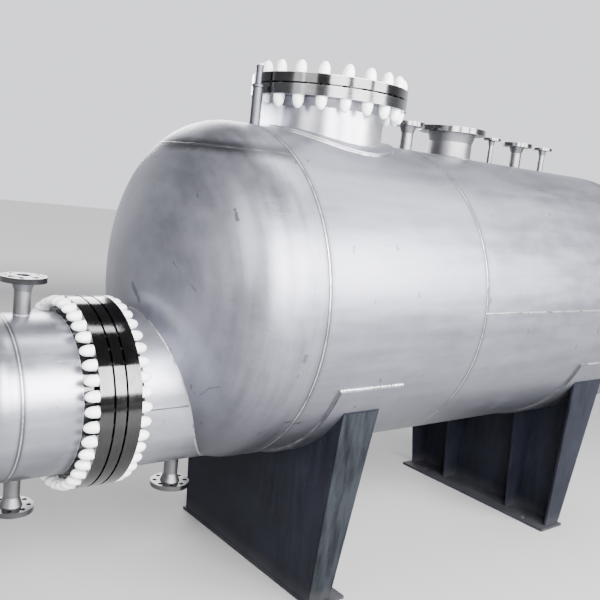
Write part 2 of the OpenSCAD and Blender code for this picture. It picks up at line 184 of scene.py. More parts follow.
class Bench:
    """One node tree while it is being made."""

    def __init__(self, tree: bpy.types.NodeTree, coordinates: str) -> None:
        """Starts on a node tree, with the texture coordinates that its patterns use."""
        self.tree = tree
        self.place = self.node("ShaderNodeTexCoord", {}, {}).outputs[coordinates]

    def node(
        self, kind: str, settings: dict[str, object], inputs: dict[int | str, object],
    ) -> bpy.types.Node:
        """Adds one node.

        Args:
            kind: Type name of the node.
            settings: Its attributes, which are set first.
            inputs: Values, sockets or signals of its inputs, by name or number.

        Returns:
            The node.
        """
        node = self.tree.nodes.new(kind)
        for name, value in settings.items():
            setattr(node, name, value)
        for name, value in inputs.items():
            self.feed(node.inputs[name], value)
        return node

    def feed(self, socket: bpy.types.NodeSocket, value: object) -> None:
        """Links or sets one input.

        Args:
            socket: The input.
            value: A signal, a socket, a number, or a colour or vector of three numbers.
        """
        if isinstance(value, Signal):
            self.tree.links.new(value.socket, socket)
        elif isinstance(value, bpy.types.NodeSocket):
            self.tree.links.new(value, socket)
        elif isinstance(value, tuple) and socket.type == "RGBA":
            socket.default_value = (*value, 1.0)
        else:
            socket.default_value = value

    def vector(
        self, operation: str, inputs: dict[int | str, object], result: int | str = 0,
    ) -> bpy.types.NodeSocket:
        """Adds one Vector Math node and gives the output that is wanted."""
        return self.node("ShaderNodeVectorMath", {"operation": operation}, inputs).outputs[result]

    def axis(self, letter: str) -> Signal:
        """One coordinate, in metres on an object."""
        parts = self.node("ShaderNodeSeparateXYZ", {}, {0: self.place})
        return Signal(self, parts.outputs["XYZ".index(letter)])

    def noise(self, pattern: Pattern) -> Signal:
        """Cloudy value around one half.

        Args:
            pattern: Size and kind of the clouds.

        Returns:
            The noise value.
        """
        at = self.place
        if pattern.stretch:
            at = self.vector("MULTIPLY", {0: at, 1: pattern.stretch})
        inputs = {
            "Vector": at, "Scale": pattern.scale, "Detail": pattern.detail,
            "Roughness": pattern.rough,
        }
        return Signal(self, self.node("ShaderNodeTexNoise", {}, inputs).outputs["Fac"])

    def blend(self, share: Signal, low: object, high: object) -> bpy.types.NodeSocket:
        """Colour between two colours or colour sockets, the low one at a share of 0."""
        settings = {"data_type": "RGBA", "clamp_factor": True}
        return self.node("ShaderNodeMix", settings, {0: share, 6: low, 7: high}).outputs[2]

    def bump(self, height: Signal, strength: float, depth: float) -> bpy.types.NodeSocket:
        """Normal that follows a height, where a height of one is so many metres deep."""
        inputs = {"Strength": strength, "Distance": depth, "Height": height}
        return self.node("ShaderNodeBump", {}, inputs).outputs[0]


class Coating(Bench):
    """One procedural material while it is being made."""

    def __init__(self, name: str) -> None:
        """Starts a material with its surface shader.

        Args:
            name: Name of the material.
        """
        self.material = bpy.data.materials.new(name)
        self.material.use_nodes = True
        super().__init__(self.material.node_tree, "Object")
        self.shader = next(n for n in self.tree.nodes if n.type == "BSDF_PRINCIPLED")

    def surface(self, **inputs: object) -> bpy.types.Material:
        """Sets the shader's inputs.

        Args:
            inputs: Values or sockets by the input's name, with underscores for spaces.

        Returns:
            The material.
        """
        for name, value in inputs.items():
            self.feed(self.shader.inputs[name.replace("_", " ")], value)
        return self.material


@dataclass(frozen=True)
class Mark:
    """Scratch, scuff or spot on a plate, from one place to another."""

    start: Triple
    end: Triple
    width: float
    strength: float
    core: float = 0.4
    fray: float = 1.6
    fraying: Pattern = Pattern(60.0, 3, 0.6)

    def mask(self, bench: Bench) -> Signal:
        """How strongly this mark shows at each place.

        Args:
            bench: The material that it is drawn in.

        Returns:
            0 away from the mark, up to its strength on it.
        """
        run = Vector(self.end) - Vector(self.start)
        arm = bench.vector("SUBTRACT", {0: bench.place, 1: self.start})
        along = tuple(run / max(run.length_squared, 1e-9))
        share = Signal(bench, bench.vector("DOT_PRODUCT", {0: arm, 1: along}, "Value"))
        nearest = bench.vector("SCALE", {0: tuple(run), "Scale": share.most(0.0).least(1.0)})
        gap = Signal(bench, bench.vector("DISTANCE", {0: arm, 1: nearest}, "Value"))
        ragged = gap + bench.noise(self.fraying).swing(self.width) * self.fray
        return (1 - ragged.fade(self.width * self.core, self.width)) * self.strength


@dataclass(frozen=True)
class PlateFinish:
    """Pickled stainless plate: satin, cloudy, with stains and darker bands beside its welds.

    The seams are places along X in metres, the chord is the height of a ground weld across a
    head, and painted shade, a stand-in for a dark floor's reflection, darkens the plate from
    its first height, where there is none, to its second.
    """

    name: str
    dark: Colour
    light: Colour
    roughness: float
    seams: tuple[float, ...] = ()
    chord: float = 0.0
    marks: tuple[Mark, ...] = ()
    wipe: Pattern = Pattern(6.0, 4, 0.6, (0.30, 1.0, 3.0))
    cloud: Pattern = Pattern(2.3, 5, 0.6)
    blotch: Pattern = Pattern(11.0, 4, 0.65, (1.0, 1.0, 1.6))
    speck: Pattern = Pattern(95.0, 2, 0.5)
    nick: Pattern = Pattern(24.0, 3, 0.55, (1.0, 1.0, 0.45))
    grain: Pattern = Pattern(260.0, 2, 0.5)
    wave: Pattern = Pattern(7.0, 2, 0.4)
    scratch: Pattern = Pattern(30.0, 2, 0.4, (0.15, 1.0, 6.0))
    # Heights between which painted shade darkens the underside, a stand-in for a dark floor's reflection.
    grime: tuple[float, float] = (1.20, 0.62)
    band: float = 0.030
    metallic: float = 0.92
    cloud_share: float = 0.75
    blotch_share: float = 0.5
    wipe_share: float = 1.1
    speck_share: float = 0.25
    nick_share: float = 0.55
    # Share of the painted shade on the underside.
    grime_share: float = 0.80
    tint_share: float = 0.55
    chord_share: float = 0.85
    speck_colour: Colour = (0.20, 0.19, 0.21)
    nick_shade: float = 0.40
    # Darkening for the painted shade on the underside and for the dark band along the chord.
    grime_shade: float = 0.42
    burnt_shade: float = 0.45
    mark_shade: float = 0.35
    weld_edge: tuple[float, float] = (0.007, 0.013)
    blotch_dulling: float = 0.16
    wipe_dulling: float = 0.14
    tint_dulling: float = 0.10
    grain_strength: float = 0.45
    grain_depth: float = 0.0006

    def make(self) -> bpy.types.Material:
        """Makes the material.

        Returns:
            The material of this plate.
        """
        bench = Coating(self.name)
        cloud, blotch = bench.noise(self.cloud), bench.noise(self.blotch)
        wipe = bench.noise(self.wipe)
        rough = self.roughness + blotch.swing(self.blotch_dulling) + wipe.swing(self.wipe_dulling)
        tone = cloud.swing(self.cloud_share) + blotch.swing(self.blotch_share)
        tone = tone + wipe.swing(self.wipe_share) + 0.5
        colour = self.soiled(bench, bench.blend(tone, self.dark, self.light), cloud)
        if self.seams:
            gap = self.seam_gap(bench)
            edge = 1 - gap.fade(*self.weld_edge)
            tint = (1 - gap.fade(0.010, self.band)) * (0.25 + blotch * 0.6)
            burnt = shade(self.dark, self.burnt_shade)
            colour = bench.blend(edge.most(tint * self.tint_share), colour, burnt)
            rough = rough + tint * self.tint_dulling
        if self.chord:
            line = self.chord_line(bench, cloud, blotch)
            # Dark band along the chord weld, darkened by the factor it shares with the painted shade.
            stain = shade(self.dark, self.grime_shade)
            colour = bench.blend(line * self.chord_share, colour, stain)
        for mark in self.marks:
            colour = bench.blend(mark.mask(bench), colour, shade(self.dark, self.mark_shade))
        normal = bench.bump(self.relief(bench), self.grain_strength, self.grain_depth)
        return bench.surface(
            Base_Color=colour, Metallic=self.metallic, Roughness=rough, Normal=normal)

    def soiled(
        self, bench: Bench, colour: bpy.types.NodeSocket, cloud: Signal,
    ) -> bpy.types.NodeSocket:
        """Plate colour with specks, nicks and painted shade on its underside, for a dark floor's
        reflection.

        Args:
            bench: The material that it is drawn in.
            colour: Colour of the clean plate.
            cloud: Large clouds that make the edge of the painted shade uneven.

        Returns:
            The colour socket.
        """
        speck = bench.noise(self.speck).fade(0.70, 0.78)
        nick = bench.noise(self.nick).fade(0.715, 0.735)
        # Painted shade: darker towards the bottom, standing in for a dark floor's reflection.
        under = (bench.axis("Z") + cloud.swing(0.10)).fade(*self.grime)
        colour = bench.blend(speck * self.speck_share, colour, self.speck_colour)
        nicked, grimy = shade(self.dark, self.nick_shade), shade(self.dark, self.grime_shade)
        colour = bench.blend(nick * self.nick_share, colour, nicked)
        # Painted shade on the underside, laid over the specks and nicks.
        return bench.blend(under * self.grime_share, colour, grimy)

    def seam_gap(self, bench: Bench) -> Signal:
        """Distance to the nearest seam.

        Args:
            bench: The material that it is drawn in.

        Returns:
            The distance in metres.
        """
        along = bench.axis("X")
        gap = (along - self.seams[0]).size()
        for seam in self.seams[1:]:
            gap = gap.least((along - seam).size())
        return gap

    def chord_line(self, bench: Bench, cloud: Signal, blotch: Signal) -> Signal:
        """Dark band along the ground weld that crosses the front head.

        Args:
            bench: The material that it is drawn in.
            cloud: Large clouds that make the band uneven.
            blotch: Small clouds that make its edges uneven.

        Returns:
            How strongly the stain shows.
        """
        off = (bench.axis("Z") - self.chord).size() + blotch.swing(0.02)
        front = 1 - bench.axis("X").fade(0.0, 0.2)
        return (1 - off.fade(0.008, 0.038)) * front * (0.45 + cloud * 0.9)

    def relief(self, bench: Bench) -> Signal:
        """Height of the plate's grain, waves and long scratches."""
        rise = bench.noise(self.grain) * 0.45 + bench.noise(self.wave) * 1.1
        return rise - bench.noise(self.scratch).fade(0.66, 0.69) * 0.4


@dataclass(frozen=True)
class FaceTones:
    """Colours of a turned face that is seen from above."""

    dark: Colour = (0.16, 0.16, 0.17)
    light: Colour = (0.40, 0.40, 0.42)

    def colour(self, bench: Bench, cloud: Signal) -> bpy.types.NodeSocket:
        """Cloudy colour of the face."""
        return bench.blend(cloud.fade(0.25, 0.75), self.dark, self.light)


@dataclass(frozen=True)
class MachinedFinish:
    """Turned stainless steel: dark and glossy, with fine tool lines and hand marks.

    The lines are stretched by a factor along each axis. Above the height of its face, where one
    is given, the steel is paler and duller.
    """

    name: str
    dark: Colour
    light: Colour
    roughness: float
    lines: Triple
    face: float = 0.0
    face_tones: FaceTones = FaceTones()
    face_dulling: float = 0.16
    smear: Pattern = Pattern(9.0, 4, 0.6)

    def make(self) -> bpy.types.Material:
        """Makes the material.

        Returns:
            The material of the turned faces.
        """
        bench = Coating(self.name)
        smear = bench.noise(self.smear)
        line = bench.noise(Pattern(40.0, 2, 0.5, self.lines))
        colour = bench.blend(smear * 0.7 + line * 0.3, self.dark, self.light)
        rough = self.roughness + smear.swing(0.18) + line.swing(0.10)
        if self.face:
            top = bench.axis("Z").fade(self.face - 0.002, self.face - 0.001)
            colour = bench.blend(top, colour, self.face_tones.colour(bench, smear))
            rough = rough + top * self.face_dulling
        normal = bench.bump(line + smear * 0.6, 0.22, 0.0004)
        return bench.surface(Base_Color=colour, Metallic=1.0, Roughness=rough, Normal=normal)


@dataclass(frozen=True)
class PipeTones:
    """Colours and roughness of a pickled pipe."""

    dark: Colour = (0.10, 0.10, 0.106)
    light: Colour = (0.21, 0.21, 0.218)
    roughness: float = 0.44


@dataclass(frozen=True)
class BranchFinish:
    """Pickled pipe with a turned flange at one end, told apart by height.

    The flange lies past its edge, on the given side, and is as thick as its thickness.
    """

    name: str
    edge: float
    side: Side
    thickness: float
    pipe: PipeTones = PipeTones()
    face: FaceTones = FaceTones()
    dark: Colour = (0.030, 0.030, 0.032)
    light: Colour = (0.170, 0.170, 0.175)
    roughness: float = 0.17
    softness: float = 0.0015
    cloud: Pattern = Pattern(6.0, 4, 0.5)
    line: Pattern = Pattern(45.0, 2, 0.5, (0.6, 0.6, 8.0))

    def make(self) -> bpy.types.Material:
        """Makes the material.

        Returns:
            The material of this branch.
        """
        bench = Coating(self.name)
        past = (bench.axis("Z") - self.edge) * float(self.side.value)
        turned = past.fade(-self.softness, self.softness)
        front = past.fade(self.thickness - 0.003, self.thickness - 0.0022)
        cloud, line = bench.noise(self.cloud), bench.noise(self.line)
        pipe = bench.blend(cloud.fade(0.20, 0.80), self.pipe.dark, self.pipe.light)
        flange = bench.blend(cloud * 0.5 + line * 0.5, self.dark, self.light)
        flange = bench.blend(front, flange, self.face.colour(bench, cloud))
        dull = self.pipe.roughness + cloud.swing(0.20)
        shiny = self.roughness + line.swing(0.12)
        return bench.surface(
            Base_Color=bench.blend(turned, pipe, flange),
            Metallic=0.96,
            Roughness=dull + (shiny - dull) * turned,
            Normal=bench.bump(line * 0.6 + cloud, 0.25, 0.0004),
        )


@dataclass(frozen=True)
class WeldFinish:
    """Bright stainless weld metal with straw and grey heat colours."""

    name: str = "weld_metal"
    bright: Colour = (0.46, 0.46, 0.48)
    burnt: Colour = (0.10, 0.10, 0.11)
    straw: Colour = (0.31, 0.30, 0.295)
    patch: Pattern = Pattern(9.0, 5, 0.65)
    fine: Pattern = Pattern(120.0, 2, 0.5)

    def make(self) -> bpy.types.Material:
        """Makes the material.

        Returns:
            The material of the weld beads.
        """
        bench = Coating(self.name)
        patch, fine = bench.noise(self.patch), bench.noise(self.fine)
        burn = (1 - patch.fade(0.38, 0.52)) * (0.4 + fine * 0.8)
        colour = bench.blend(patch.fade(0.52, 0.68), self.bright, self.straw)
        return bench.surface(
            Base_Color=bench.blend(burn, colour, self.burnt),
            Metallic=0.9,
            Roughness=0.24 + fine * 0.22,
            Normal=bench.bump(fine, 0.35, 0.0006),
        )


@dataclass(frozen=True)
class PaintFinish:
    """Brushed or sprayed primer on carbon steel, thin enough to show its streaks."""

    name: str
    deep: Colour
    pale: Colour
    roughness: float
    streak: float
    gloss: float = 0.12
    dusty: Colour = (0.30, 0.30, 0.33)
    muddy: Colour = (0.22, 0.21, 0.20)
    mud_height: float = 0.09
    cloud: Pattern = Pattern(3.5, 4, 0.6)
    brush: Pattern = Pattern(22.0, 3, 0.55, (1.6, 1.6, 0.22))
    dust: Pattern = Pattern(60.0, 3, 0.6)

    def make(self) -> bpy.types.Material:
        """Makes the material.

        Returns:
            The material of the painted saddles.
        """
        bench = Coating(self.name)
        cloud, brush = bench.noise(self.cloud), bench.noise(self.brush)
        dust = bench.noise(self.dust).fade(0.60, 0.74)
        low = 1 - bench.axis("Z").fade(0.0, self.mud_height)
        tone = (brush - 0.42) * self.streak + cloud.swing(1.2) + 0.4
        colour = bench.blend(tone, self.deep, self.pale)
        colour = bench.blend(dust * 0.03, colour, self.dusty)
        return bench.surface(
            Base_Color=bench.blend(low * 0.16 * cloud, colour, self.muddy),
            Metallic=0.0,
            Roughness=self.roughness + brush.swing(0.25) + dust * 0.15,
            Normal=bench.bump(brush + dust * 0.4, 0.30, 0.0006),
            Specular_IOR_Level=self.gloss,
        )


@dataclass(frozen=True)
class PlasticFinish:
    """White moulded plastic of the stud caps, a little dusty."""

    name: str = "cap_plastic"
    white: Colour = (0.86, 0.87, 0.88)
    shaded: Colour = (0.56, 0.57, 0.61)
    cloud: Pattern = Pattern(35.0, 3, 0.55)
    dust: Pattern = Pattern(160.0, 2, 0.5)

    def make(self) -> bpy.types.Material:
        """Makes the material.

        Returns:
            The material of the caps.
        """
        bench = Coating(self.name)
        cloud, dust = bench.noise(self.cloud), bench.noise(self.dust)
        return bench.surface(
            Base_Color=bench.blend(cloud.fade(0.42, 0.75) * 0.55, self.white, self.shaded),
            Roughness=0.32 + cloud * 0.2,
            Normal=bench.bump(dust, 0.15, 0.0004),
            Coat_Weight=0.10,
        )


@dataclass(frozen=True)
class GasketFinish:
    """Black graphite edge of a gasket."""

    name: str = "gasket_edge"
    dark: Colour = (0.006, 0.006, 0.007)
    light: Colour = (0.030, 0.030, 0.034)
    flake: Pattern = Pattern(140.0, 3, 0.6)

    def make(self) -> bpy.types.Material:
        """Makes the material.

        Returns:
            The material of the gaskets.
        """
        bench = Coating(self.name)
        flake = bench.noise(self.flake)
        return bench.surface(
            Base_Color=bench.blend(flake, self.dark, self.light),
            Roughness=0.55 + flake * 0.25,
            Normal=bench.bump(flake, 0.4, 0.0008),
        )


@dataclass(frozen=True)
class FloorFinish:
    """Plain pale studio floor, paler and glowing further out, by the distance squared."""

    name: str = "studio_floor"
    middle: Colour = (0.28, 0.28, 0.285)
    outside: Colour = (0.85, 0.85, 0.855)
    glow: Colour = (0.62, 0.62, 0.63)
    unlit: Colour = (0.0, 0.0, 0.0)
    paler: tuple[float, float] = (9.0, 90.0)
    glowing: tuple[float, float] = (12.0, 120.0)
    cloud: Pattern = Pattern(0.6, 3, 0.5)

    def make(self) -> bpy.types.Material:
        """Makes the material.

        Returns:
            The material of the floor.
        """
        bench = Coating(self.name)
        far = bench.axis("X") * bench.axis("X") + bench.axis("Y") * bench.axis("Y")
        pale = far.fade(*self.paler) + bench.noise(self.cloud) * 0.08
        return bench.surface(
            Base_Color=bench.blend(pale, self.middle, self.outside),
            Roughness=0.75,
            Emission_Color=bench.blend(far.fade(*self.glowing), self.unlit, self.glow),
            Emission_Strength=1.0,
        )


def even(angle: float, height: float) -> float:
    """Factor of a plain round solid, which is 1 all over."""
    return 1.0


class Pen:
    """Collects the vertices and faces of one joined mesh."""

    def __init__(self) -> None:
        """Starts with nothing drawn."""
        self.points: list[Vector] = []
        self.faces: list[tuple[int, ...]] = []

    def loop(self, points: Sequence[Vector]) -> list[int]:
        """Adds points.

        Args:
            points: The points, in order.

        Returns:
            Their numbers in the mesh.
        """
        start = len(self.points)
        self.points.extend(points)
        return list(range(start, start + len(points)))

    def bridge(self, one: list[int], two: list[int]) -> None:
        """Joins two closed loops with faces.

        Args:
            one: The first loop.
            two: The second loop, of as many points.
        """
        for i, a in enumerate(one):
            j = (i + 1) % len(one)
            self.faces.append((a, one[j], two[j], two[i]))

    def skin(self, rings: list[list[int]], closed: bool) -> None:
        """Joins loops in a row into one skin.

        Args:
            rings: The loops.
            closed: Whether the last loop joins the first, or both ends get a flat face.
        """
        for one, two in zip(rings, rings[1:]):
            self.bridge(one, two)
        if closed:
            self.bridge(rings[-1], rings[0])
        else:
            self.faces.append(tuple(reversed(rings[0])))
            self.faces.append(tuple(rings[-1]))

    def turned(
        self, profile: Sequence[tuple[float, float]], place: Matrix, count: int,
        swell: Callable[[float, float], float] = even,
    ) -> None:
        """Adds a solid turned about the Z axis of a place.

        Args:
            profile: Radius and height of each ring, from one end to the other.
            place: Where the solid stands.
            count: Sides of the solid.
            swell: Factor on the radius, from the angle and the height.
        """
        rings = []
        for radius, height in profile:
            rings.append(self.loop([
                place @ Vector((
                    radius * swell(a, height) * math.cos(a),
                    radius * swell(a, height) * math.sin(a),
                    height,
                ))
                for a in turns(count)
            ]))
        self.skin(rings, False)

    def piece(
        self, name: str, material: bpy.types.Material, slot: Slot, crease: float,
    ) -> bpy.types.Object:
        """Makes the object and lets it ride with the part.

        Args:
            name: Name of the piece.
            material: Its material.
            slot: Not used.
            crease: Edges sharper than this many degrees stay sharp.

        Returns:
            The object.
        """
        mesh = bpy.data.meshes.new(name)
        mesh.from_pydata(self.points, [], self.faces)
        mesh.validate()
        mesh.shade_smooth()
        mesh.set_sharp_from_angle(angle=math.radians(crease))
        mesh.materials.append(material)
        made = bpy.data.objects.new(name, mesh)
        bpy.context.scene.collection.objects.link(made)
        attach(made, BODY)
        LOG.info("%s: %d faces", name, len(self.faces))
        return made


@dataclass(frozen=True)
class Bead:
    """Weld bead with ripples, laid along a track of points and outward normals."""

    width: float
    height: float
    pitch: float = 0.006
    sink: float = 0.0012
    sides: int = 6
    ripple: float = 0.26
    wander: float = 0.10
    sway: tuple[float, float] = (37.0, 11.0)

    def lay(self, pen: Pen, track: Track, closed: bool) -> None:
        """Adds the bead to a mesh.

        Args:
            pen: The mesh.
            track: Points on the surface with the direction in which the bead swells.
            closed: Whether the end joins the start.
        """
        count = len(track)
        arc = [math.pi * k / (self.sides - 1) for k in range(self.sides)]
        run = 0.0
        rings = []
        for i, (point, normal) in enumerate(track):
            before = track[i - 1][0] if i or closed else point
            after = track[(i + 1) % count][0] if i + 1 < count or closed else point
            tangent = (after - before).normalized()
            side = tangent.cross(normal).normalized()
            out = side.cross(tangent).normalized()
            run += (after - point).length
            rise = 1 - self.ripple + self.ripple * abs(math.sin(math.pi * run / self.pitch))
            fast, slow = (math.sin(run * sway) for sway in self.sway)
            reach = 1.0 + self.wander * fast * slow
            rings.append(pen.loop([
                point + side * (self.width / 2 * reach * math.cos(a))
                + out * (self.height * rise * math.sin(a) - self.sink)
                for a in arc
            ]))
        pen.skin(rings, closed)


@dataclass(frozen=True)
class Vessel:
    """Main sizes of the vessel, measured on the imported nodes, in metres."""

    shell_r: float
    axis_z: float
    front_seam: float
    course_seam: float
    rear_seam: float
    tube_z: float
    neck_r: float
    channel_r: float
    channel_seam: float
    skirt: float = 0.068
    crown_ratio: float = 0.904
    knuckle_ratio: float = 0.173
    head_chord: float = 0.585

    @classmethod
    def measured(cls) -> "Vessel":
        """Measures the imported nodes.

        Returns:
            The vessel with their sizes.
        """
        front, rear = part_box("front_shell_course"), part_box("rear_shell_course")
        neck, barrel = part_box("bundle_neck"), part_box("channel_barrel")
        return cls(
            shell_r=(front[1].y - front[0].y) / 2,
            axis_z=(front[1].z + front[0].z) / 2,
            front_seam=front[0].x,
            course_seam=rear[0].x,
            rear_seam=rear[1].x,
            tube_z=(neck[1].z + neck[0].z) / 2,
            neck_r=(neck[1].z - neck[0].z) / 2,
            channel_r=(barrel[1].z - barrel[0].z) / 2,
            channel_seam=barrel[0].x,
        )

    def dish(self, radius: float) -> float:
        """How far the outside of a shell head rises past its skirt.

        Args:
            radius: Distance from the shell axis.

        Returns:
            The rise in metres.
        """
        size = 2 * self.shell_r
        crown, knuckle = self.crown_ratio * size, self.knuckle_ratio * size
        centre = self.shell_r - knuckle
        back = math.sqrt((crown - knuckle) ** 2 - centre ** 2)
        if radius > centre * crown / (crown - knuckle):
            return math.sqrt(max(knuckle ** 2 - (radius - centre) ** 2, 0.0))
        return math.sqrt(crown ** 2 - radius ** 2) - back

    def head_point(self, y: float, z: float) -> tuple[Vector, Vector]:
        """Point on the outside of the front head, and the normal there.

        Args:
            y: Place across the shell.
            z: Height over the floor.

        Returns:
            The point and the outward normal.
        """
        rim, step, steepest = 1e-4, 1e-3, 40.0
        inside = min(math.hypot(y, z - self.axis_z), self.shell_r - rim)
        slope = (self.dish(max(inside - step, 0.0)) - self.dish(inside)) / step
        out = Vector((0, y, z - self.axis_z)).normalized()
        normal = (Vector((-1, 0, 0)) + out * min(slope, steepest)).normalized()
        return Vector((self.front_seam - self.skirt - self.dish(inside), y, z)), normal


@dataclass
class SeamWelds:
    """Butt welds of shell, heads, neck and channel, and the weld where the neck meets the head."""

    vessel: Vessel
    metal: bpy.types.Material
    tinted: bpy.types.Material
    seam: Bead = Bead(0.010, 0.0018)
    small_seam: Bead = Bead(0.009, 0.0016)
    fillet: Bead = Bead(0.015, 0.0050, 0.006, 0.002)
    flush: Bead = Bead(0.009, 0.0014, 0.006, 0.0004)
    step: float = 0.0035
    chord_inset: float = 0.004
    shell_seam_rise: float = 0.015
    neck_seam_rise: float = 0.004
    neck_seam_end: float = -0.62
    channel_seam_rise: float = 0.12

    def ring(self, x: float, z: float, radius: float) -> Track:
        """Track round a cylinder along X.

        Args:
            x: Place of the ring.
            z: Height of its centre.
            radius: Radius of the surface.

        Returns:
            The track.
        """
        count = int(2 * math.pi * radius / self.step)
        out = [Vector((0, math.sin(a), math.cos(a))) for a in turns(count)]
        return [(Vector((x, 0, z)) + n * radius, n) for n in out]

    def line(
        self, start: float, end: float, z: float, radius: float, rise: float, side: Side,
    ) -> Track:
        """Track along a cylinder.

        Args:
            start: First X.
            end: Last X.
            z: Height of the cylinder's axis.
            radius: Radius of the cylinder.
            rise: Height of the track over the axis.
            side: Which side it runs on.

        Returns:
            The track.
        """
        across = side.value * math.sqrt(1 - (rise / radius) ** 2)
        normal = Vector((0, across, rise / radius))
        return straight(Vector((0, 0, z)) + normal * radius, start, end, normal, self.step)

    def neck_junction(self) -> Track:
        """Follows the neck where it meets the front head.

        Returns:
            The track.
        """
        v = self.vessel
        track = []
        for a in turns(int(2 * math.pi * v.neck_r / self.step)):
            out = Vector((0, math.sin(a), math.cos(a)))
            foot = Vector((0, 0, v.tube_z)) + out * v.neck_r
            point, normal = v.head_point(foot.y, foot.z)
            track.append((point, (out + normal).normalized()))
        return track

    def chord(self) -> Track:
        """Follows the weld that joins the two plates of the front head.

        Returns:
            The track.
        """
        v = self.vessel
        reach = math.sqrt(v.shell_r ** 2 - v.head_chord ** 2)
        height = v.axis_z + v.head_chord
        half = reach - self.chord_inset
        count = int(2 * half / self.step)
        dished = [v.head_point(half * (2 * k / count - 1), height) for k in range(count + 1)]
        out = Vector((0, reach, v.head_chord)).normalized()
        skirt = [
            (Vector((v.front_seam - v.skirt + k * self.step, reach, height)), out)
            for k in range(int(v.skirt / self.step))
        ]
        near = [
            (Vector((p.x, -p.y, p.z)), Vector((n.x, -n.y, n.z))) for p, n in reversed(skirt)
        ]
        return near + dished + skirt

    def build(self) -> None:
        """Makes the welds as four pieces."""
        v = self.vessel
        shell, head, tube, ground = Pen(), Pen(), Pen(), Pen()
        for x in (v.front_seam, v.course_seam, v.rear_seam):
            self.seam.lay(shell, self.ring(x, v.axis_z, v.shell_r), True)
        for start, end, side in (
            (v.course_seam, v.rear_seam, Side.MINUS), (v.front_seam, v.course_seam, Side.PLUS),
        ):
            track = self.line(start, end, v.axis_z, v.shell_r, self.shell_seam_rise, side)
            self.flush.lay(shell, track, False)
        self.fillet.lay(head, self.neck_junction(), True)
        neck_hub, channel_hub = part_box("neck_flange")[1].x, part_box("channel_flange")[0].x
        for x, radius in (
            (neck_hub, v.neck_r), (channel_hub, v.channel_r), (v.channel_seam, v.channel_r),
        ):
            self.small_seam.lay(tube, self.ring(x, v.tube_z, radius), True)
        self.flush.lay(tube, self.line(
            v.channel_seam, channel_hub, v.tube_z, v.channel_r, self.channel_seam_rise, Side.PLUS), False)
        self.flush.lay(ground, self.chord(), False)
        self.flush.lay(ground, self.line(
            neck_hub, self.neck_seam_end, v.tube_z, v.neck_r, self.neck_seam_rise, Side.MINUS), False)
        shell.piece("shell_seam_welds", self.metal, Slot.PLATE, WELD_CREASE)
        head.piece("neck_and_head_weld", self.metal, Slot.PLATE, WELD_CREASE)
        tube.piece("tube_side_seam_welds", self.metal, Slot.PLATE, WELD_CREASE)
        ground.piece("ground_seam_welds", self.tinted, Slot.PLATE, WELD_CREASE)


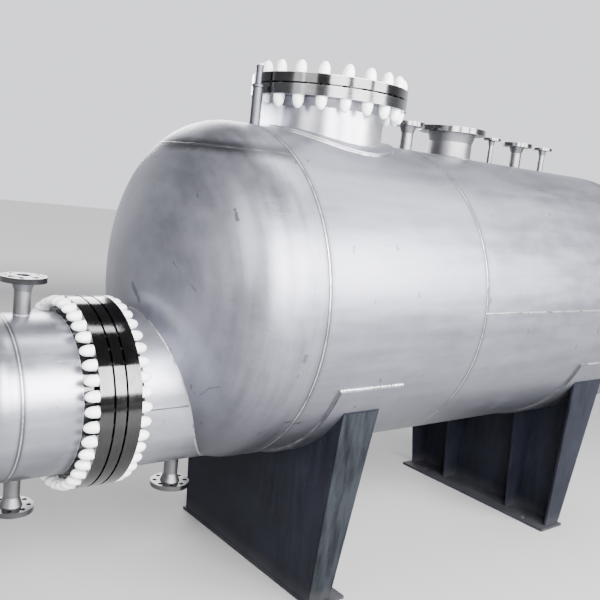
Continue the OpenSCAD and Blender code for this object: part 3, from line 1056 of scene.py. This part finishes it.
@dataclass
class BranchWelds:
    """Fillet welds round the nozzles, the manway neck, its pad and the davit."""

    vessel: Vessel
    metal: bpy.types.Material
    neck_bead: Bead = Bead(0.012, 0.0045, 0.006, 0.002)
    pad_bead: Bead = Bead(0.014, 0.0060, 0.006, 0.002)
    sleeve_bead: Bead = Bead(0.009, 0.004, 0.004, 0.002)
    tube_bead: Bead = Bead(0.012, 0.005, 0.005, 0.002)
    step: float = 0.0030
    fewest: int = 36
    pad_t: float = 0.012
    pad_edge: float = 0.003
    foot_height: float = 0.012
    neck_foot: float = 0.05

    def crown_bead(self, radius: float) -> Bead:
        """Bead round a crown nozzle, larger on a larger pipe."""
        width, height = 0.010 + radius * 0.05, 0.004 + radius * 0.02
        return Bead(width, height, pitch=0.005, sink=0.002)

    def round_pipe(self, x: float, radius: float, run_z: float, run_r: float, side: Side) -> Track:
        """Track round an upright pipe where it meets a cylinder along X.

        Args:
            x: Place of the pipe.
            radius: Radius of the pipe.
            run_z: Height of the cylinder's axis.
            run_r: Radius of the cylinder.
            side: Whether the pipe stands up or hangs down.

        Returns:
            The track.
        """
        track = []
        for a in turns(max(self.fewest, int(2 * math.pi * radius / self.step))):
            out = Vector((math.cos(a), math.sin(a), 0))
            y = radius * out.y
            lift = side.value * math.sqrt(run_r ** 2 - y ** 2)
            up = Vector((0, y, lift)) / run_r
            track.append((Vector((x + radius * out.x, y, run_z + lift)), (out + up).normalized()))
        return track

    def pipe(self, node: str, side: Side) -> tuple[float, float]:
        """Place and radius of a nozzle's pipe.

        Args:
            node: The nozzle.
            side: Whether it stands up or hangs down.

        Returns:
            X of its axis and the radius of its pipe.
        """
        low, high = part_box(node)
        foot = low.z if side is Side.PLUS else high.z
        middle = (low.x + high.x) / 2
        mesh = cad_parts[node].data
        near = [p.co for p in mesh.vertices if abs(p.co.z - foot) < self.foot_height]
        return middle, max(math.hypot(p.x - middle, p.y) for p in near)

    def build(self) -> None:
        """Makes the welds as two pieces."""
        v = self.vessel
        crown, tube = Pen(), Pen()
        for node in CROWN_NOZZLES:
            x, radius = self.pipe(node, Side.PLUS)
            track = self.round_pipe(x, radius, v.axis_z, v.shell_r, Side.PLUS)
            self.crown_bead(radius).lay(crown, track, True)
        low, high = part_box("manway_pad")
        middle, pad_r = (low.x + high.x) / 2, (high.x - low.x) / 2
        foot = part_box("manway_neck")[0].z + self.neck_foot
        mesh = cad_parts["manway_neck"].data
        neck_r = max(abs(p.co.x - middle) for p in mesh.vertices if p.co.z < foot)
        low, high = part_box("davit_sleeve")
        sleeve_x, sleeve_r = (low.x + high.x) / 2, (high.x - low.x) / 2
        for bead, x, radius, run_r in (
            (self.neck_bead, middle, neck_r, v.shell_r + self.pad_t),
            (self.pad_bead, middle, pad_r, v.shell_r + self.pad_edge),
            (self.sleeve_bead, sleeve_x, sleeve_r, v.shell_r),
        ):
            bead.lay(crown, self.round_pipe(x, radius, v.axis_z, run_r, Side.PLUS), True)
        for node, run_r in (
            ("channel_top_nozzle", v.channel_r), ("channel_bottom_nozzle", v.channel_r),
            ("neck_drain_nozzle", v.neck_r),
        ):
            side = side_of(node)
            x, radius = self.pipe(node, side)
            self.tube_bead.lay(tube, self.round_pipe(x, radius, v.tube_z, run_r, side), True)
        crown.piece("crown_fillet_welds", self.metal, Slot.PLATE, WELD_CREASE)
        tube.piece("tube_side_fillet_welds", self.metal, Slot.PLATE, WELD_CREASE)


@dataclass
class SaddleWelds:
    """Fillet welds round the wear plates and along the saddle plates."""

    vessel: Vessel
    metal: bpy.types.Material
    tinted: bpy.types.Material
    paint: bpy.types.Material
    side_bead: Bead = Bead(0.011, 0.0045, 0.005, 0.002)
    top_bead: Bead = Bead(0.014, 0.0060, 0.005, 0.002)
    web_bead: Bead = Bead(0.010, 0.0045, 0.005, 0.002)
    end_bead: Bead = Bead(0.016, 0.0070, 0.013, 0.003)
    wear_t: float = 0.012
    lift: float = 0.002
    step: float = 0.0040
    web_share: float = 0.97
    widest: float = 0.99
    end_slope: float = -0.35

    def arc(self, x: float, radius: float, side: Side, half: float) -> Track:
        """Track along the edge of a plate bent round the shell.

        Args:
            x: Place of the edge.
            radius: Radius of the track.
            side: Direction along X that the edge faces.
            half: Half the angle that it spans, in radians from straight down.

        Returns:
            The track.
        """
        count = int(2 * half * radius / self.step)
        track = []
        for k in range(count + 1):
            a = 2 * half * k / count - half
            out = Vector((0, math.sin(a), -math.cos(a)))
            normal = (out + Vector((side.value, 0, 0))).normalized()
            track.append((Vector((x, 0, self.vessel.axis_z)) + out * radius, normal))
        return track

    def end_plate_top(self, saddle: str, side: Side) -> Track:
        """Track along the top of an end plate, under the wear plate.

        Args:
            saddle: Which saddle.
            side: Which end plate.

        Returns:
            The track.
        """
        low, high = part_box(f"{saddle}_end_plates")
        radius = self.vessel.shell_r + self.wear_t
        across = side.value * math.sqrt(radius ** 2 - (self.vessel.axis_z - high.z) ** 2)
        normal = Vector((0, side.value, self.end_slope)).normalized()
        count = int((high.x - low.x) / self.step)
        return [(Vector((low.x + k * self.step, across, high.z)), normal) for k in range(count)]

    def web_arc(self, saddle: str, side: Side) -> Track:
        """Track in the corner between the web and the wear plate.

        Args:
            saddle: Which saddle.
            side: Direction along X that the web's outer face looks in.

        Returns:
            The track.
        """
        low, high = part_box(f"{saddle}_web")
        radius = self.vessel.shell_r + self.wear_t
        half = math.asin(min(self.widest, high.y / radius)) * self.web_share
        x = low.x if side is Side.MINUS else high.x
        return [
            (point, (normal + 2 * Vector((side.value, 0, 0))).normalized())
            for point, normal in self.arc(x, radius, side, half)
        ]

    def build(self) -> None:
        """Makes the welds as three pieces."""
        v = self.vessel
        bright, dull, dark = Pen(), Pen(), Pen()
        for saddle, outer in (("front_saddle", Side.MINUS), ("rear_saddle", Side.PLUS)):
            low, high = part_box(f"{saddle}_wear_plate")
            top = math.acos((v.axis_z - high.z) / (v.shell_r + self.wear_t / 2))
            for x, side in ((low.x, Side.MINUS), (high.x, Side.PLUS)):
                self.side_bead.lay(dull, self.arc(x, v.shell_r + self.lift, side, top), False)
            for side in Side:
                out = Vector((0, side.value * math.sin(top), -math.cos(top)))
                up = Vector((0, side.value * math.cos(top), math.sin(top)))
                foot = Vector((0, 0, v.axis_z)) + out * (v.shell_r + self.lift)
                track = straight(foot, low.x, high.x, (out + up).normalized(), self.step)
                self.top_bead.lay(bright, track, False)
            self.web_bead.lay(dark, self.web_arc(saddle, outer), False)
            for side in Side:
                self.end_bead.lay(dark, self.end_plate_top(saddle, side), False)
        bright.piece("wear_plate_top_welds", self.metal, Slot.PLATE, WELD_CREASE)
        dull.piece("wear_plate_side_welds", self.tinted, Slot.PLATE, WELD_CREASE)
        dark.piece("saddle_web_welds", self.paint, Slot.BLACK, WELD_CREASE)


@dataclass
class StudSet:
    """Ring of studs with white plastic caps over both nuts.

    Near and far are where the nuts sit, measured along the studs from the centre.
    """

    name: str
    centre: Vector
    along: Vector
    circle: float
    count: int
    near: float
    far: float
    cap_r: float
    cap_length: float
    lean: float = 0.035
    seed: int = 7
    cap_sides: int = 20
    ribs: int = 8
    rib_depth: float = 0.018
    rib_reach: float = 0.7
    stud_sides: int = 16
    stud_share: float = 0.52
    tip_share: float = 0.4
    stud_past: float = 0.012
    bevel: float = 0.002

    @classmethod
    def girth(cls, vessel: Vessel) -> "StudSet":
        """Measures the joint of neck, tube sheet and channel.

        Args:
            vessel: Sizes of the vessel.

        Returns:
            Its studs.
        """
        hub_length = 0.034
        return cls(
            name="girth", centre=Vector((0, 0, vessel.tube_z)), along=Vector((1, 0, 0)),
            circle=0.3465, count=40, cap_r=0.0215, cap_length=0.049,
            near=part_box("channel_flange")[0].x + hub_length,
            far=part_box("neck_flange")[1].x - hub_length,
        )

    @classmethod
    def manway(cls) -> "StudSet":
        """Measures the manway's cover and flange.

        Returns:
            Their studs.
        """
        low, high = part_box("manway_cover")
        margin = 0.0315
        return cls(
            name="manway", centre=Vector(((low.x + high.x) / 2, 0, 0)), along=Vector((0, 0, 1)),
            circle=(high.x - low.x) / 2 - margin, count=20, cap_r=0.025, cap_length=0.054,
            near=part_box("manway_neck")[1].z - FLANGE_THICKNESS["manway_neck"], far=high.z,
        )

    def swell(self, angle: float, height: float) -> float:
        """Factor on the radius that moulds shallow ribs into the barrel of a cap."""
        fading = max(0.0, 1.0 - height / (self.rib_reach * self.cap_length))
        return 1.0 + self.rib_depth * fading * math.cos(self.ribs * angle)

    def spot(self, index: int, offset: float) -> Vector:
        """Point on the stud circle.

        Args:
            index: Which stud.
            offset: Distance along the studs from the centre.

        Returns:
            The point.
        """
        turn = 2 * math.pi * (index + 0.5) / self.count
        out = Vector((math.cos(turn), math.sin(turn), 0))
        if self.along.x:
            out = Vector((0, -math.sin(turn), math.cos(turn)))
        return self.centre + self.along * offset + out * self.circle

    def cap_place(self, index: int, offset: float, side: Side, wobble: random.Random) -> Matrix:
        """Place of one cap.

        Args:
            index: Which stud.
            offset: Distance of the nut's seat along the stud from the centre.
            side: Direction in which the cap points.
            wobble: Source of the small leans.

        Returns:
            The place, with Z along the stud.
        """
        tilt = Matrix.Rotation(wobble.uniform(-self.lean, self.lean), 4, "X")
        tilt = tilt @ Matrix.Rotation(wobble.uniform(-self.lean, self.lean), 4, "Y")
        turned = (self.along * side.value).to_track_quat("Z", "Y").to_matrix().to_4x4()
        spin = Matrix.Rotation(wobble.uniform(0, math.pi), 4, "Z")
        return Matrix.Translation(self.spot(index, offset)) @ turned @ tilt @ spin

    def build(self, plastic: bpy.types.Material, steel: bpy.types.Material) -> None:
        """Makes the caps and the studs as two pieces.

        Args:
            plastic: Material of the caps.
            steel: Material of the studs.
        """
        wobble = random.Random(self.seed)
        caps, studs = Pen(), Pen()
        upright = self.along.to_track_quat("Z", "Y").to_matrix().to_4x4()
        cap = [(self.cap_r * r, self.cap_length * s) for r, s in CAP_SHAPE]
        tip, shaft = self.tip_share * self.cap_r, self.stud_share * self.cap_r
        low, high = -self.stud_past, self.far - self.near + self.stud_past
        stud = ((tip, low), (shaft, low + self.bevel), (shaft, high - self.bevel), (tip, high))
        for i in range(self.count):
            for offset, side in ((self.near, Side.MINUS), (self.far, Side.PLUS)):
                place = self.cap_place(i, offset, side, wobble)
                caps.turned(cap, place, self.cap_sides, self.swell)
            place = Matrix.Translation(self.spot(i, self.near)) @ upright
            studs.turned(stud, place, self.stud_sides)
        caps.piece(f"{self.name}_stud_caps", plastic, Slot.MACHINED, STUD_CREASE)
        studs.piece(f"{self.name}_studs", steel, Slot.MACHINED, STUD_CREASE)


@dataclass
class DavitTrim:
    """Collar of the davit's sleeve and end cap of its post."""

    steel: bpy.types.Material
    collar_t: float = 0.010
    collar_rise: float = 0.0035
    bulge: float = 0.0015
    cap_depth: float = 0.010
    proud: float = 0.0008
    bevel: float = 0.001
    overlap: float = 0.0005
    sides: int = 40

    def build(self) -> None:
        """Makes the trim as one piece."""
        pen = Pen()
        low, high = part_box("davit_sleeve")
        post_low, post_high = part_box("davit_post")
        place = Matrix.Translation(Vector(((low.x + high.x) / 2, 0, 0)))
        radius, post_r = (high.x - low.x) / 2, (post_high.x - post_low.x) / 2
        rim, cap_r = radius + self.collar_rise, post_r + self.bulge
        under, top = high.z - self.collar_t, post_high.z
        collar = (
            (post_r + self.overlap, high.z + self.proud),
            (rim - 2 * self.bevel, high.z + self.proud),
            (rim, high.z - self.bevel), (rim, under),
            (radius - self.overlap, under - 3 * self.bevel),
        )
        cap = (
            (cap_r, top - self.cap_depth), (cap_r, top - self.bevel),
            (post_r - 2 * self.bevel, top + self.bevel), (4 * self.bevel, top + 1.5 * self.bevel),
        )
        pen.turned(collar, place, self.sides)
        pen.turned(cap, place, self.sides)
        pen.piece("davit_trim", self.steel, Slot.DAVIT, TRIM_CREASE)


@dataclass
class Dresser:
    """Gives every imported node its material."""

    materials: dict[str, bpy.types.Material]
    nodes: dict[str, tuple[str, ...]]

    def build(self) -> None:
        """Puts the materials in the slots of the nodes."""
        for finish, names in self.nodes.items():
            for name in names:
                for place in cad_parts[name].material_slots:
                    place.material = self.materials[finish]
        missing = set(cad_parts) - {n for names in self.nodes.values() for n in names}
        LOG.info("nodes without a finish: %s", sorted(missing))


@dataclass(frozen=True)
class Panel:
    """Soft rectangular light that faces the middle of the shell."""

    name: str
    way: Triple
    far: float
    size: tuple[float, float]
    power: float

    def hang(self, aim: Vector) -> None:
        """Adds the light.

        Args:
            aim: Point that it faces.
        """
        lamp = bpy.data.lights.new(self.name, "AREA")
        lamp.shape = "RECTANGLE"
        lamp.size, lamp.size_y = self.size
        lamp.energy = self.power
        made = bpy.data.objects.new(self.name, lamp)
        way = Vector(self.way).normalized()
        turn = way.to_track_quat("Z", "Y").to_matrix().to_4x4()
        made.matrix_world = Matrix.Translation(aim + way * self.far) @ turn
        bpy.context.scene.collection.objects.link(made)


@dataclass
class Studio:
    """Plain floor, soft lights and the camera, with angles in degrees."""

    vessel: Vessel
    panels: tuple[Panel, ...]
    floor_finish: FloorFinish = FloorFinish()
    floor_r: float = 26.0
    floor_sides: int = 96
    floor_drop: float = 0.0005
    aim_x: float = 0.55
    world_colour: Colour = (0.94, 0.95, 1.0)
    world_near: float = 0.24
    world_far: float = 1.5
    world_rim: float = 0.30
    low_sky: tuple[float, float] = (0.30, 0.50)
    ahead_sky: tuple[float, float] = (0.30, 0.80)
    camera_at: Triple = (-2.1061, -2.7211, 1.7534)
    yaw: float = 50.9517
    pitch: float = -8.6978
    roll: float = 6.4009
    focal_px: float = 763.48
    frame_px: float = 600.0
    sensor: float = 36.0

    def floor(self) -> None:
        """Makes the floor disc."""
        mesh = bpy.data.meshes.new("floor")
        points = [
            Vector((self.floor_r * math.cos(a), self.floor_r * math.sin(a), -self.floor_drop))
            for a in turns(self.floor_sides)
        ]
        mesh.from_pydata(points, [], [tuple(range(self.floor_sides))])
        mesh.materials.append(self.floor_finish.make())
        made = bpy.data.objects.new("floor", mesh)
        bpy.context.scene.collection.objects.link(made)

    def world(self) -> None:
        """Makes surroundings that are paler near the floor, and palest behind the object."""
        world = bpy.data.worlds.new("surroundings")
        world.use_nodes = True
        bench = Bench(world.node_tree, "Generated")
        background = world.node_tree.nodes["Background"]
        yaw = math.radians(self.yaw)
        ahead = bench.axis("X") * math.cos(yaw) + bench.axis("Y") * math.sin(yaw)
        low = 1 - bench.axis("Z").fade(*self.low_sky)
        behind = ahead.fade(*self.ahead_sky) * low
        extra = self.world_far - self.world_near - self.world_rim
        bench.feed(background.inputs["Color"], self.world_colour)
        strength = self.world_near + low * self.world_rim + behind * extra
        bench.feed(background.inputs["Strength"], strength)
        bpy.context.scene.world = world

    def camera(self) -> None:
        """Places the camera where the photograph was taken."""
        yaw, roll = math.radians(self.yaw), math.radians(self.roll)
        ahead = Vector(heading(self.yaw, self.pitch))
        level = Vector((math.sin(yaw), -math.cos(yaw), 0))
        upright = level.cross(ahead)
        right = math.cos(roll) * level + math.sin(roll) * upright
        up = -math.sin(roll) * level + math.cos(roll) * upright
        lens = bpy.data.cameras.new("camera")
        lens.sensor_width = self.sensor
        lens.lens = self.focal_px / self.frame_px * self.sensor
        made = bpy.data.objects.new("camera", lens)
        turn = Matrix((right, up, -ahead)).transposed().to_4x4()
        made.matrix_world = Matrix.Translation(Vector(self.camera_at)) @ turn
        bpy.context.scene.collection.objects.link(made)
        bpy.context.scene.camera = made

    def build(self) -> None:
        """Makes the whole studio."""
        self.floor()
        self.world()
        self.camera()
        for panel in self.panels:
            panel.hang(Vector((self.aim_x, 0, self.vessel.axis_z)))
            LOG.info("%s: light of %d W", panel.name, panel.power)


HEAD_MARKS = (
    Mark((-0.602, -0.470, 1.600), (-0.605, -0.450, 1.635), 0.010, 0.75),
    Mark((-0.741, 0.020, 1.285), (-0.739, -0.040, 1.235), 0.016, 0.60),
    Mark((-0.710, -0.232, 1.412), (-0.684, -0.370, 1.327), 0.003, 0.60),
    Mark((-0.634, -0.383, 0.937), (-0.626, -0.434, 0.978), 0.004, 0.45),
    Mark((-0.626, -0.434, 0.978), (-0.613, -0.479, 0.994), 0.004, 0.45),
    Mark((-0.336, -0.424, 1.827), (-0.340, -0.430, 1.822), 0.007, 0.80),
    Mark((-0.403, -0.688, 1.145), (-0.404, -0.685, 1.130), 0.013, 0.50),
    Mark((-0.412, -0.670, 1.076), (-0.412, -0.668, 1.068), 0.006, 0.55),
    Mark((-0.362, -0.567, 0.860), (-0.345, -0.568, 0.861), 0.008, 0.85),
)
COURSE_MARKS = (
    Mark((-0.270, -0.405, 1.840), (-0.268, -0.412, 1.836), 0.007, 0.80),
    Mark((-0.316, -0.556, 0.845), (-0.285, -0.557, 0.846), 0.009, 0.85),
    Mark((1.353, -0.679, 1.103), (1.353, -0.676, 1.092), 0.006, 0.70),
)
CAP_SHAPE = (
    (0.955, -0.010), (1.000, 0.012), (1.000, 0.040), (0.960, 0.055), (0.955, 0.32), (0.915, 0.48),
    (0.830, 0.63), (0.700, 0.77), (0.530, 0.88), (0.300, 0.965), (0.060, 1.000),
)
CROWN_NOZZLES = ("gauge_nozzle", "vapour_nozzle", "vent_nozzle", "inlet_nozzle", "probe_nozzle")
HANGING = ("channel_bottom_nozzle", "neck_drain_nozzle")
FLANGE_THICKNESS = {
    "channel_top_nozzle": 0.0224,
    "channel_bottom_nozzle": 0.0224,
    "neck_drain_nozzle": 0.0224,
    "gauge_nozzle": 0.0224,
    "vapour_nozzle": 0.0286,
    "vent_nozzle": 0.018,
    "inlet_nozzle": 0.0224,
    "probe_nozzle": 0.018,
    "manway_neck": 0.044,
}
NODES = {
    "shell_plate": (
        "front_shell_course", "rear_shell_course", "manway_pad",
        "front_saddle_wear_plate", "rear_saddle_wear_plate",
    ),
    "head_plate": ("front_head", "rear_head"),
    "tube_side_plate": ("channel_barrel", "channel_head"),
    "neck_plate": ("bundle_neck", "davit_gusset"),
    "turned_flange": ("neck_flange", "tube_sheet", "channel_flange"),
    "turned_cover": ("manway_cover",),
    "davit_steel": ("davit_sleeve", "davit_post"),
    "gasket_edge": ("neck_gasket", "channel_gasket", "manway_gasket"),
    "saddle_black_paint": (
        "front_saddle_web", "front_saddle_ribs", "front_saddle_base", "rear_saddle_web",
        "rear_saddle_ribs", "rear_saddle_base", "rear_saddle_end_plates",
    ),
    "saddle_slate_paint": ("front_saddle_end_plates",),
    **{node: (node,) for node in FLANGE_THICKNESS},
}
MANWAY_PIPE = PipeTones(dark=(0.22, 0.22, 0.245), light=(0.44, 0.44, 0.475), roughness=0.33)
PANELS = (
    Panel("key_left", heading(238, 20), 4.8, (1.9, 2.9), 580),
    Panel("key_middle", heading(270, 21), 4.8, (2.1, 2.9), 640),
    Panel("key_right", heading(300, 21), 4.8, (1.8, 2.9), 520),
    Panel("slit_front", heading(192, 20), 4.8, (0.25, 2.9), 24),
    Panel("overhead", (0.33, -0.16, 0.93), 3.6, (0.5, 4.5), 130),
    Panel("front_fill", (-1.0, -0.25, 0.35), 5.0, (2.6, 2.2), 110),
    Panel("back_fill", (0.35, 1.0, 0.50), 5.5, (4.0, 2.4), 430),
)


def side_of(node: str) -> Side:
    """Whether a nozzle stands up or hangs down."""
    return Side.MINUS if node in HANGING else Side.PLUS


def finishes(vessel: Vessel) -> dict[str, bpy.types.Material]:
    """Makes every finish of the part.

    Args:
        vessel: Sizes that place the heat bands of the seams.

    Returns:
        The materials by name.
    """
    shell_seams = (vessel.front_seam, vessel.course_seam, vessel.rear_seam)
    # Each plate gets painted shade towards the bottom, standing in for a dark floor's reflection.
    kinds = [
        PlateFinish(
            "shell_plate", dark=(0.178, 0.180, 0.212), light=(0.315, 0.318, 0.368),
            roughness=0.42, seams=shell_seams, marks=COURSE_MARKS),
        PlateFinish(
            "head_plate", dark=(0.140, 0.141, 0.166), light=(0.335, 0.338, 0.392),
            roughness=0.40, seams=shell_seams, wipe=Pattern(6.0, 4, 0.6, (3.6, 0.32, 0.32)),
            chord=vessel.axis_z + vessel.head_chord, marks=HEAD_MARKS),
        PlateFinish(
            "tube_side_plate", dark=(0.225, 0.227, 0.260), light=(0.42, 0.422, 0.475),
            roughness=0.33, seams=(vessel.channel_seam,), band=0.02, grime=(0.86, 0.58)),
        PlateFinish(
            "neck_plate", dark=(0.30, 0.302, 0.338), light=(0.50, 0.503, 0.560),
            roughness=0.36, grime=(0.80, 0.54)),
        MachinedFinish(
            "turned_flange", dark=(0.022, 0.021, 0.021), light=(0.112, 0.110, 0.111),
            roughness=0.10, lines=(12.0, 0.6, 0.6)),
        MachinedFinish(
            "turned_cover", dark=(0.030, 0.029, 0.029), light=(0.135, 0.133, 0.134),
            roughness=0.11, lines=(0.6, 0.6, 12.0), face=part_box("manway_cover")[1].z),
        MachinedFinish(
            "stud_steel", dark=(0.010, 0.010, 0.011), light=(0.040, 0.040, 0.042),
            roughness=0.55, lines=(1.0, 1.0, 9.0)),
        MachinedFinish(
            "davit_steel", dark=(0.050, 0.050, 0.060), light=(0.130, 0.130, 0.150),
            roughness=0.46, lines=(1.0, 1.0, 4.0)),
        WeldFinish(),
        WeldFinish(
            "ground_weld", bright=(0.150, 0.150, 0.168), burnt=(0.050, 0.050, 0.056),
            straw=(0.105, 0.102, 0.108)),
        PlasticFinish(),
        GasketFinish(),
        PaintFinish(
            "saddle_black_paint", deep=(0.0030, 0.0034, 0.0060), pale=(0.0125, 0.0140, 0.0220),
            roughness=0.52, streak=1.2),
        PaintFinish(
            "saddle_slate_paint", deep=(0.0040, 0.0046, 0.0062), pale=(0.0170, 0.0195, 0.0230),
            roughness=0.62, streak=2.6, gloss=0.05),
    ]
    for node, thickness in FLANGE_THICKNESS.items():
        low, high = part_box(node)
        side = side_of(node)
        edge = low.z + thickness if side is Side.MINUS else high.z - thickness
        pipe = MANWAY_PIPE if node == "manway_neck" else PipeTones()
        kinds.append(BranchFinish(node, edge, side, thickness, pipe))
    return {kind.name: kind.make() for kind in kinds}


def main() -> None:
    """Builds the finishes, the pieces and the studio in order."""
    logging.basicConfig(level=logging.INFO, format="%(name)s: %(message)s")
    vessel = Vessel.measured()
    made = finishes(vessel)
    metal, tinted, paint = made["weld_metal"], made["ground_weld"], made["saddle_black_paint"]
    Dresser(made, NODES).build()
    SeamWelds(vessel, metal, tinted).build()
    BranchWelds(vessel, metal).build()
    SaddleWelds(vessel, metal, tinted, paint).build()
    for studs in (StudSet.girth(vessel), StudSet.manway()):
        studs.build(made["cap_plastic"], made["stud_steel"])
    DavitTrim(made["davit_steel"]).build()
    Studio(vessel, PANELS).build()


if __name__ == "__main__":
    main()
    bpy.context.view_layer.update()
